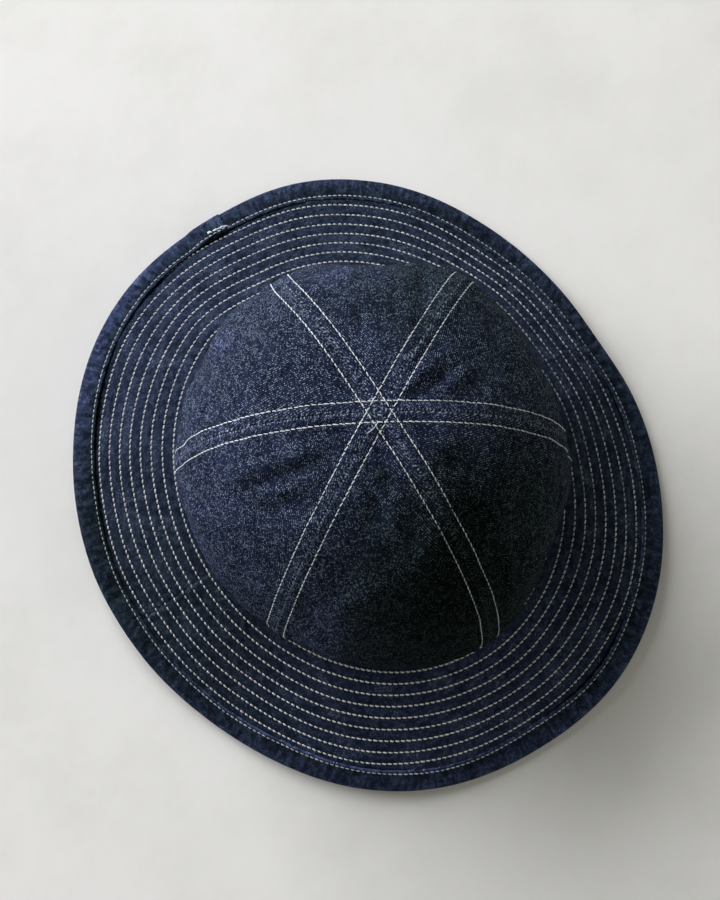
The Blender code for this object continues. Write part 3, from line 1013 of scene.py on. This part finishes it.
def binding_profile():
    """Half of the strip's cross-section, from its turned-under edge to the very edge.

    Each place is its distance out and its lift over the middle.
    """
    under = BINDING_TOP - 2 * LIP_ROLL
    places = [(LIP_OUT + TURNED_UNDER, under), (LIP_OUT + TURNED_UNDER / 2, under)]
    for turn in np.radians((270, 225, 180, 135, 90)):
        out = LIP_OUT + LIP_ROLL * (1 + math.cos(turn))
        places.append((out, BINDING_TOP - LIP_ROLL + LIP_ROLL * math.sin(turn)))
    places += [(BINDING_ROW_OUT + beside, BINDING_TOP) for beside in BESIDE_ROW]
    for turn in np.linspace(np.pi / 2, 0, 7):
        out = NOSE_OUT + NOSE_RADIUS * math.cos(turn)
        places.append((out, BINDING_TOP * math.sin(turn)))
    return np.array(places)


RING_ANGLES = np.arange(0, 2 * FULL_TURN + 1)
RING_RUN = run_length(brim_point(RING_ANGLES, BRIM_WIDTH, 0.0)[0])
EDGE_RADIUS = (HEAD_WIDTH + HEAD_LENGTH) / 4 + BRIM_WIDTH
LAP_TURN = math.degrees(BINDING_LAP / EDGE_RADIUS)
LAP_FROM = BINDING_JOINT - LAP_TURN / 2
LAP_TO = LAP_FROM + LAP_TURN
RAMP_TO = LAP_TO + math.degrees(BINDING_RAMP / EDGE_RADIUS)


def row_stray(angle):
    """How far the binding's row, and its lip with it, strays from an even distance."""
    return column_at(BRIM_SWAY, SWAY_ROW, angle) / 1000


def strip_face(angle, out, lift):
    """Where a place of the strip's cross-section lies, the way out from it, and its wear.

    The strip starts on top of its own far end and runs to the wearer's right, so angles
    go on past a full turn under its start.
    """
    facing = np.sign(lift)
    over = (CLOTH + CLEARANCE) * (1 - fade(angle, (LAP_TO * 3 + RAMP_TO) / 4, RAMP_TO))
    lift = lift + facing * over * np.minimum(1, np.abs(lift) / BINDING_LIFT)
    gape = hump(wrapped(angle - GAPES_AT), 0.0, GAPES_WIDE) + 0.8 * lip_stands(angle)
    gape = gape * (1 - fade(out, LIP_OUT, BINDING_ROW_OUT))
    lift = lift + LIP_LIFT * gape * (facing > 0)
    strayed = out + row_stray(angle) * (1 - fade(out, BINDING_ROW_OUT, NOSE_OUT - 0.003))
    flat, normal = brim_point(angle, strayed, lift)
    run = np.interp(angle, RING_ANGLES, RING_RUN)
    on_nose = fade(out, NOSE_OUT - 0.002, NOSE_OUT + 0.002)
    slant = (run - 0.9 * (out - BINDING_ROW_OUT) * facing) / BIAS_PITCH
    wander = 2.6 * ripples(flat, 0.020, 41)
    pucker = np.sin(2 * np.pi * slant + wander) * (1 + 0.35 * ripples(flat, 0.03, 42))
    puff = (
        BIAS_PUCKER * pucker * fade(out, *PUCKERS_FROM) * (1 - on_nose)
        + PUFF_LIFT * hump(out, PUFF_OUT, PUFF_WIDE)
        - ROW_DEEP * hump(out, BINDING_ROW_OUT, ROW_GROOVE)
        + LIP_WAVES * hump(out, LIP_OUT, 0.0014) * ripples(flat, 0.008, 43)
    )
    point = flat + normal * (facing * puff)[..., None]
    point[..., 2] = np.maximum(point[..., 2], BINDING_CLOTH / 2 + 0.00002)
    patchy = fade(ripples(flat, 0.011, 44), -0.2, 1.4)
    end_wear = 1 - fade(angle, LAP_FROM + 0.5, LAP_FROM + 3.4)
    # On the lip the wear is painted less at the back right, where the lip stands off: painted
    # shade there.
    worn = (
        0.40 * on_nose * (0.3 + patchy)
        + 0.30 * patchy * fade(pucker, -0.2, 1.2)
        + 0.9 * hump(out, LIP_OUT, 0.0007) * (0.5 + 0.5 * patchy) * (1 - 0.7 * lip_stands(angle))
        + 0.85 * end_wear * fade(out, 0.0590, 0.0620)
    )
    return point, normal * facing[..., None], np.clip(worn, 0, 1)


def binding_strip(name):
    """The whole strip, from its folded-in end to the end that lies under it."""
    half = binding_profile()
    out, lift = np.concatenate((half, half[-2::-1] * (1, -1))).T
    angle = np.linspace(LAP_FROM, LAP_TO + FULL_TURN, BINDING_STATIONS)[:, None]
    points, _, worn = strip_face(angle, out, lift)
    run = np.interp(angle, RING_ANGLES, RING_RUN)
    # Light and shade painted into the binding's colour, carried by the faded attribute: the
    # table's binding column round the hat. Across the strip it is darker next to its row and paler
    # towards the edge.
    faded = column_at(PAINTED_LIGHT_AND_STAIN, BINDING_PAINTED_LIGHT, angle) * (0.7 + 0.35 * fade(out, 0.0595, 0.0655))
    # Painted shadow on the lip inside the row, at the back right where the lip stands off.
    inside = 1 - fade(out, BINDING_ROW_OUT - 0.0010, BINDING_ROW_OUT)
    faded = faded * (1 - 0.6 * lip_stands(angle) * inside)
    front = hump(wrapped(angle - PALE_AT), 0.0, PALE_WIDE)
    faded = faded + 1.1 * front * hump(out, LIP_OUT, 0.0007)
    strip = lay_cloth(
        name, points, (run + out) * BIAS_TURN, (out - run) * BIAS_TURN, BINDING_CLOTH,
        worn=worn, faded=faded,
    )
    return strip, sheet_size(points)


binding_denim = denim(
    "binding_denim", (0.0065, 0.0092, 0.0180), (0.037, 0.057, 0.112), (0.22, 0.29, 0.48),
    grain=0.25, specks=0.15, blotches=1.2, streaked=1.0,
)
binding, (binding_width, binding_length, binding_area) = binding_strip("brim_binding_cloth")
binding.data.materials.append(binding_denim)
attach(binding, "root")
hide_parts("brim_binding")


# Stitching. Rows of lockstitch in off-white cotton thread. Each stitch is a short
# twisted length that comes up through the cloth, lies along the row and goes down.
WOBBLE = 0.07               # radians that a stitch may lie askew
SMALLEST = (0.90, 0.85, 0.85)
LARGEST = (1.08, 1.12, 1.1)


class StitchTree:
    """A Geometry Nodes tree in the making, that lays stitches along a path."""

    def __init__(self, name):
        self.tree = bpy.data.node_groups.new(name, "GeometryNodeTree")
        self.sockets = {}

    def socket(self, name, kind, way="INPUT"):
        item = self.tree.interface.new_socket(
            name=name, in_out=way, socket_type="NodeSocket" + kind
        )
        self.sockets[name] = item.identifier

    def node(self, kind, settings=None, sockets=None, leaves=0):
        node = self.tree.nodes.new(kind)
        for name, value in (settings or {}).items():
            setattr(node, name, value)
        for name, value in (sockets or {}).items():
            if isinstance(value, bpy.types.NodeSocket):
                self.tree.links.new(value, node.inputs[name])
            else:
                node.inputs[name].default_value = value
        return node.outputs[leaves] if len(node.outputs) else node

    def math(self, operation, first, second=0.0):
        return self.node("ShaderNodeMath", {"operation": operation}, {0: first, 1: second})


def one_stitch(made, value):
    """A length of thread that rises from below the cloth and goes down again."""
    half = made.math("MULTIPLY", value["Length"], 0.5)
    down = made.math("MULTIPLY", value["Sink"], -1.0)
    start = made.node(
        "ShaderNodeCombineXYZ", None, {0: made.math("MULTIPLY", half, -1.0), 2: down}
    )
    finish = made.node("ShaderNodeCombineXYZ", None, {0: half, 2: down})
    top = made.node("ShaderNodeCombineXYZ", None, {2: value["Rise"]})
    run = made.node(
        "GeometryNodeCurveQuadraticBezier", None,
        {"Resolution": value["Bends"], "Start": start, "Middle": top, "End": finish},
    )
    along = made.node("GeometryNodeSplineParameter")
    bulge = made.math("SINE", made.math("MULTIPLY", along, math.pi))
    bulge = made.node(
        "ShaderNodeMapRange", None, {"Value": bulge, "To Min": 0.50, "To Max": 1.0}
    )
    run = made.node("GeometryNodeSetCurveRadius", None, {"Curve": run, "Radius": bulge})
    ring = made.node(
        "GeometryNodeCurvePrimitiveCircle", None,
        {"Resolution": value["Sides"], "Radius": made.math("MULTIPLY", value["Thread"], 0.5)},
    )
    stitch = made.node(
        "GeometryNodeCurveToMesh", None,
        {"Curve": run, "Profile Curve": ring, "Fill Caps": True},
    )
    stitch = made.node(
        "GeometryNodeStoreNamedAttribute", {"data_type": "FLOAT_VECTOR", "domain": "POINT"},
        {"Geometry": stitch, "Name": "thread_place",
         "Value": made.node("GeometryNodeInputPosition")},
    )
    return made.node("GeometryNodeSetShadeSmooth", None, {"Geometry": stitch})


def stitch_tree():
    """Lays a stitch at every pitch of the path, along it and upright on the cloth."""
    made = StitchTree("stitches")
    made.socket("Geometry", "Geometry", "OUTPUT")
    made.socket("Path", "Geometry")
    for name in ("Pitch", "Length", "Thread", "Rise", "Sink", "Slant"):
        made.socket(name, "Float")
    for name in ("Bends", "Sides", "Seed"):
        made.socket(name, "Int")
    made.socket("Finish", "Material")
    given = made.tree.nodes.new("NodeGroupInput")
    value = {socket.name: socket for socket in given.outputs}

    path = made.node("GeometryNodeMeshToCurve", None, {"Mesh": value["Path"]})
    path = made.node(
        "GeometryNodeResampleCurve", {"mode": "LENGTH"},
        {"Curve": path, "Length": value["Pitch"]},
    )
    upright = made.node(
        "GeometryNodeInputNamedAttribute", {"data_type": "FLOAT_VECTOR"}, {"Name": "upright"}
    )
    turn = made.node(
        "FunctionNodeAxesToRotation", {"primary_axis": "Z", "secondary_axis": "X"},
        {"Primary Axis": upright, "Secondary Axis": made.node("GeometryNodeInputTangent")},
    )
    wobble = made.node(
        "FunctionNodeRandomValue", {"data_type": "FLOAT"},
        {2: -WOBBLE, 3: WOBBLE, "Seed": value["Seed"]}, leaves=1,
    )
    lean = made.math("ADD", value["Slant"], wobble)
    about = made.node("ShaderNodeCombineXYZ", None, {2: lean})
    lean = made.node("FunctionNodeEulerToRotation", None, {"Euler": about})
    turn = made.node(
        "FunctionNodeRotateRotation", {"rotation_space": "LOCAL"},
        {"Rotation": turn, "Rotate By": lean},
    )
    size = made.node(
        "FunctionNodeRandomValue", {"data_type": "FLOAT_VECTOR"},
        {0: SMALLEST, 1: LARGEST, "Seed": made.math("ADD", value["Seed"], 7.0)},
    )
    stitches = made.node(
        "GeometryNodeInstanceOnPoints", None,
        {"Points": path, "Instance": one_stitch(made, value), "Rotation": turn, "Scale": size},
    )
    tint = made.node(
        "FunctionNodeRandomValue", {"data_type": "FLOAT"},
        {"Seed": made.math("ADD", value["Seed"], 13.0)}, leaves=1,
    )
    stitches = made.node(
        "GeometryNodeStoreNamedAttribute", {"data_type": "FLOAT", "domain": "INSTANCE"},
        {"Geometry": stitches, "Name": "tint", "Value": tint},
    )
    stitches = made.node("GeometryNodeRealizeInstances", None, {"Geometry": stitches})
    stitches = made.node(
        "GeometryNodeSetMaterial", None, {"Geometry": stitches, "Material": value["Finish"]}
    )
    made.node("NodeGroupOutput", None, {"Geometry": stitches})
    return made


STITCHES = stitch_tree()


def sew(name, runs, finish, seed, **sizes):
    """Lays stitches along runs of points, each with the way out of the cloth there.

    A run also gives each point a clean_and_lit value for its thread, from 0 to 1: how free of
    dye the thread is, together with painted light and shade.
    """
    mesh = bpy.data.meshes.new(name + "_path")
    points = np.concatenate([run for run, _, _ in runs]) - MIDDLE
    edges, count = [], 0
    for run, _, _ in runs:
        edges += [(count + i, count + i + 1) for i in range(len(run) - 1)]
        count += len(run)
    mesh.from_pydata(points.tolist(), edges, [])
    upright = mesh.attributes.new("upright", "FLOAT_VECTOR", "POINT")
    ways = np.concatenate([way for _, way, _ in runs]).astype(np.float32)
    upright.data.foreach_set("vector", ways.ravel())
    clean_and_lit = mesh.attributes.new("clean_and_lit", "FLOAT", "POINT")
    whites = np.concatenate([white for _, _, white in runs]).astype(np.float32)
    clean_and_lit.data.foreach_set("value", whites)
    guide = bpy.data.objects.new(name + "_path", mesh)
    bpy.context.scene.collection.objects.link(guide)
    sewing = guide.modifiers.new("sewing", "NODES")
    sewing.node_group = STITCHES.tree
    inputs = {"Finish": finish, "Seed": seed, "Bends": 4, "Sides": 6, **sizes}
    for label, value in inputs.items():
        sewing[STITCHES.sockets[label]] = value
    bpy.context.view_layer.update()
    evaluated = guide.evaluated_get(bpy.context.evaluated_depsgraph_get())
    sewn = bpy.data.objects.new(name, bpy.data.meshes.new_from_object(evaluated))
    sewn.data.name = name
    guide.modifiers.remove(sewing)
    bpy.data.objects.remove(guide)
    bpy.context.scene.collection.objects.link(sewn)
    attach(sewn, "root")
    return sewn


THREAD_ROUGHNESS = 0.75
THREAD_SHEEN = 0.15
PLY_TWIST = (8000.0, 7000.0, 5000.0)         # how fast the plies turn, along and across
# Painted shade in the grooves between the thread's plies.
PAINTED_SHADE_BETWEEN_PLIES = (0.10, 0.11, 0.15)


def thread(name, white, stained_and_shaded):
    """Soft three-ply cotton, with some of the cloth's dye on it and with light and shade painted
    on.
    """
    finish = Finish(name, THREAD_ROUGHNESS, sheen=THREAD_SHEEN)
    place = finish.node("Attribute", {"attribute_name": "thread_place"}, leaves=1)
    tint, clean_and_lit = (
        finish.node("Attribute", {"attribute_name": label}, leaves=2)
        for label in ("tint", "clean_and_lit")
    )
    length, side, top = finish.parts(place)
    ply = length * PLY_TWIST[0] + side * PLY_TWIST[1] + top * PLY_TWIST[2]
    ply = (ply.sine() * 0.5 + 0.5) ** 0.6
    dye = finish.noise(finish.node("TexCoord", leaves=3), 120.0, 3.0, 0.6)
    dye = finish.fade(dye, 0.36, 0.70)
    # The lower clean_and_lit, the more the thread takes the stained_and_shaded colour: the dye's
    # real staining together with painted shade.
    soiled_and_shaded = (1.0 - clean_and_lit) * (dye * 0.5 + tint * 0.3 + 0.6)
    shade = finish.mix(soiled_and_shaded.least(1.0), white, stained_and_shaded)
    # Painted shade between the plies.
    shade = finish.mix(ply * 0.35 + 0.65, PAINTED_SHADE_BETWEEN_PLIES, shade)
    finish.bump(ply, 0.0001, 0.5)
    return finish.paint(shade)


crown_thread = thread("crown_thread", (0.90, 0.95, 1.0), (0.35, 0.41, 0.48))
brim_thread = thread("brim_thread", (0.95, 0.97, 1.0), (0.15, 0.165, 0.22))
binding_thread = thread("binding_thread", (0.74, 0.79, 0.88), (0.15, 0.17, 0.24))

# The backtack that fixes the binding's folded end goes over the same short line thrice.
TACK_NUDGES = (0.0, 0.0004, -0.0003)
TACK_OUT = (0.0590, 0.0603)
TACK_TO = 90.3
TACK_POINTS = 12

turns = np.arange(STEP_FROM, STEP_FROM - FULL_TURN * QUILT_TURNS, -0.4)
turn_number = (STEP_FROM - turns) // FULL_TURN
spiral_out = QUILT_OUT - QUILT_PITCH * (turn_number + quilt_step(turns) - 1)
for face, side, bends in (("upper", 1, 4), ("under", -1, 2)):
    run, way, _ = brim_face(turns, spiral_out, side)
    # Round the brim the quilting and binding threads are painted whiter or darker: the dye's
    # staining together with painted light and shade.
    clean_and_lit = column_at(PAINTED_LIGHT_AND_STAIN, THREAD_STAIN_AND_SHADE, turns)
    sew(
        f"quilting_{face}_stitches", [(run + way * (BRIM_CLOTH / 2 + 0.0001), way, clean_and_lit)],
        brim_thread, 3,
        Pitch=0.0028, Length=0.00175, Thread=0.00087, Rise=0.00064, Sink=0.00036, Slant=-0.18,
        Bends=bends,
    )
    ring = np.arange(LAP_FROM + 0.4, LAP_FROM + FULL_TURN - 0.4, 0.5)
    run, way, _ = strip_face(ring, BINDING_ROW_OUT, side * BINDING_TOP)
    # The binding's row of thread is painted the same way round the hat.
    rows = [(run + way * BINDING_CLOTH / 2, way, column_at(PAINTED_LIGHT_AND_STAIN, THREAD_STAIN_AND_SHADE, ring))]
    if side > 0:
        for nudge in TACK_NUDGES:
            tack = np.linspace(LAP_FROM + 0.2 + nudge * 900, TACK_TO, TACK_POINTS)
            out = np.linspace(*TACK_OUT, TACK_POINTS) + nudge
            run, way, _ = strip_face(tack, out, BINDING_TOP)
            clean_and_lit = np.ones(TACK_POINTS)
            rows.append((run + way * (BINDING_CLOTH / 2 + 0.0001), way, clean_and_lit))
    sew(
        f"binding_{face}_stitches", rows, binding_thread, 4,
        Pitch=0.0027, Length=0.0019, Thread=0.00074, Rise=0.00055, Sink=0.00034, Slant=-0.14,
        Bends=bends,
    )


# Crown rows. Each of the three seams that cross the top has a row along either side,
# sewn in one go from brim to brim, so the rows cross over the top. A loose end of thread
# is left there.
HALVINGS = 26               # of the span in which a row's height is sought
ROW_POINTS = 240


def crown_stitch_line(angle, reach):
    """The crown's face at an angle and a distance from its leaning axis, near the top."""
    low, high = 0.8, 1.0
    for _ in range(HALVINGS):
        guess = (low + high) / 2
        outside = crown_radius(angle, guess) > reach
        low, high = np.where(outside, guess, low), np.where(outside, high, guess)
    return guess


def sewn_point(angle, rise):
    """A point on the outside of the crown's cloth, and the way out of it."""
    face = crown_point(angle, rise)
    way = crown_normal(angle, rise)
    lift, _, _ = crown_relief(angle, rise, face)
    return face + way * lift[:, None], way


def crown_row(seam, other, aside):
    """One row, up along a seam, over the top and down along the seam across from it."""
    arc = np.linspace(0.02, np.pi / 2, ROW_POINTS)
    rise = np.sin(arc) ** (2 / CROWN_ROUNDNESS)
    runs = []
    for angle, way in ((seam, 1), (other, -1)):
        radius = crown_radius(angle, rise)
        turned = angle + way * np.degrees(np.arctan2(aside, radius))
        guess = crown_stitch_line(turned, np.hypot(radius, aside))
        guess = np.clip(guess, rise - 0.04, rise + 0.04)
        level = rise + (guess - rise) * fade(rise, 0.85, 0.96)
        point, upright = sewn_point(turned, level)
        # The crown's thread takes the cloth's painted light and shade: darker on the wall where
        # the cloth is painted darker.
        painted_cloth_light = column_at(PAINTED_LIGHT_AND_STAIN, CROWN_PAINTED_LIGHT, turned)
        clean_and_lit = 1 - (1 - painted_cloth_light) * fade(radius, TOP_DISC, WALL_FROM)
        backwards = slice(None) if way > 0 else slice(-2, None, -1)
        runs.append((point[backwards], upright[backwards], clean_and_lit[backwards]))
    return tuple(np.concatenate(parts) for parts in zip(*runs))


twin_rows = [
    crown_row(SEAM_ANGLES[k], SEAM_ANGLES[k + 3], aside)
    for k in range(3)
    for aside in (-TWIN_ROW_OUT, TWIN_ROW_OUT)
]
sew(
    "crown_stitches", twin_rows, crown_thread, 5,
    Pitch=0.0028, Length=0.0025, Thread=0.00048, Rise=0.00040, Sink=0.00022, Slant=-0.12,
)

TAIL_POINTS = 16
TAIL_LOOP = 0.0012          # how high the loose end stands off the cloth

tail_angle = np.linspace(228, 211, TAIL_POINTS)
tail_reach = np.linspace(0.0055, 0.0108, TAIL_POINTS)
tail, tail_way = sewn_point(tail_angle, crown_stitch_line(tail_angle, tail_reach))
tail_lift = 0.0003 + TAIL_LOOP * np.sin(np.linspace(0, 2.2, TAIL_POINTS)) ** 2
tail = tail + tail_way * tail_lift[:, None]
sew(
    "loose_thread", [(tail, tail_way, np.ones(TAIL_POINTS))], crown_thread, 6,
    Pitch=0.0006, Length=0.0013, Thread=0.00026, Rise=0.00006, Sink=0.00003, Slant=0.0,
)
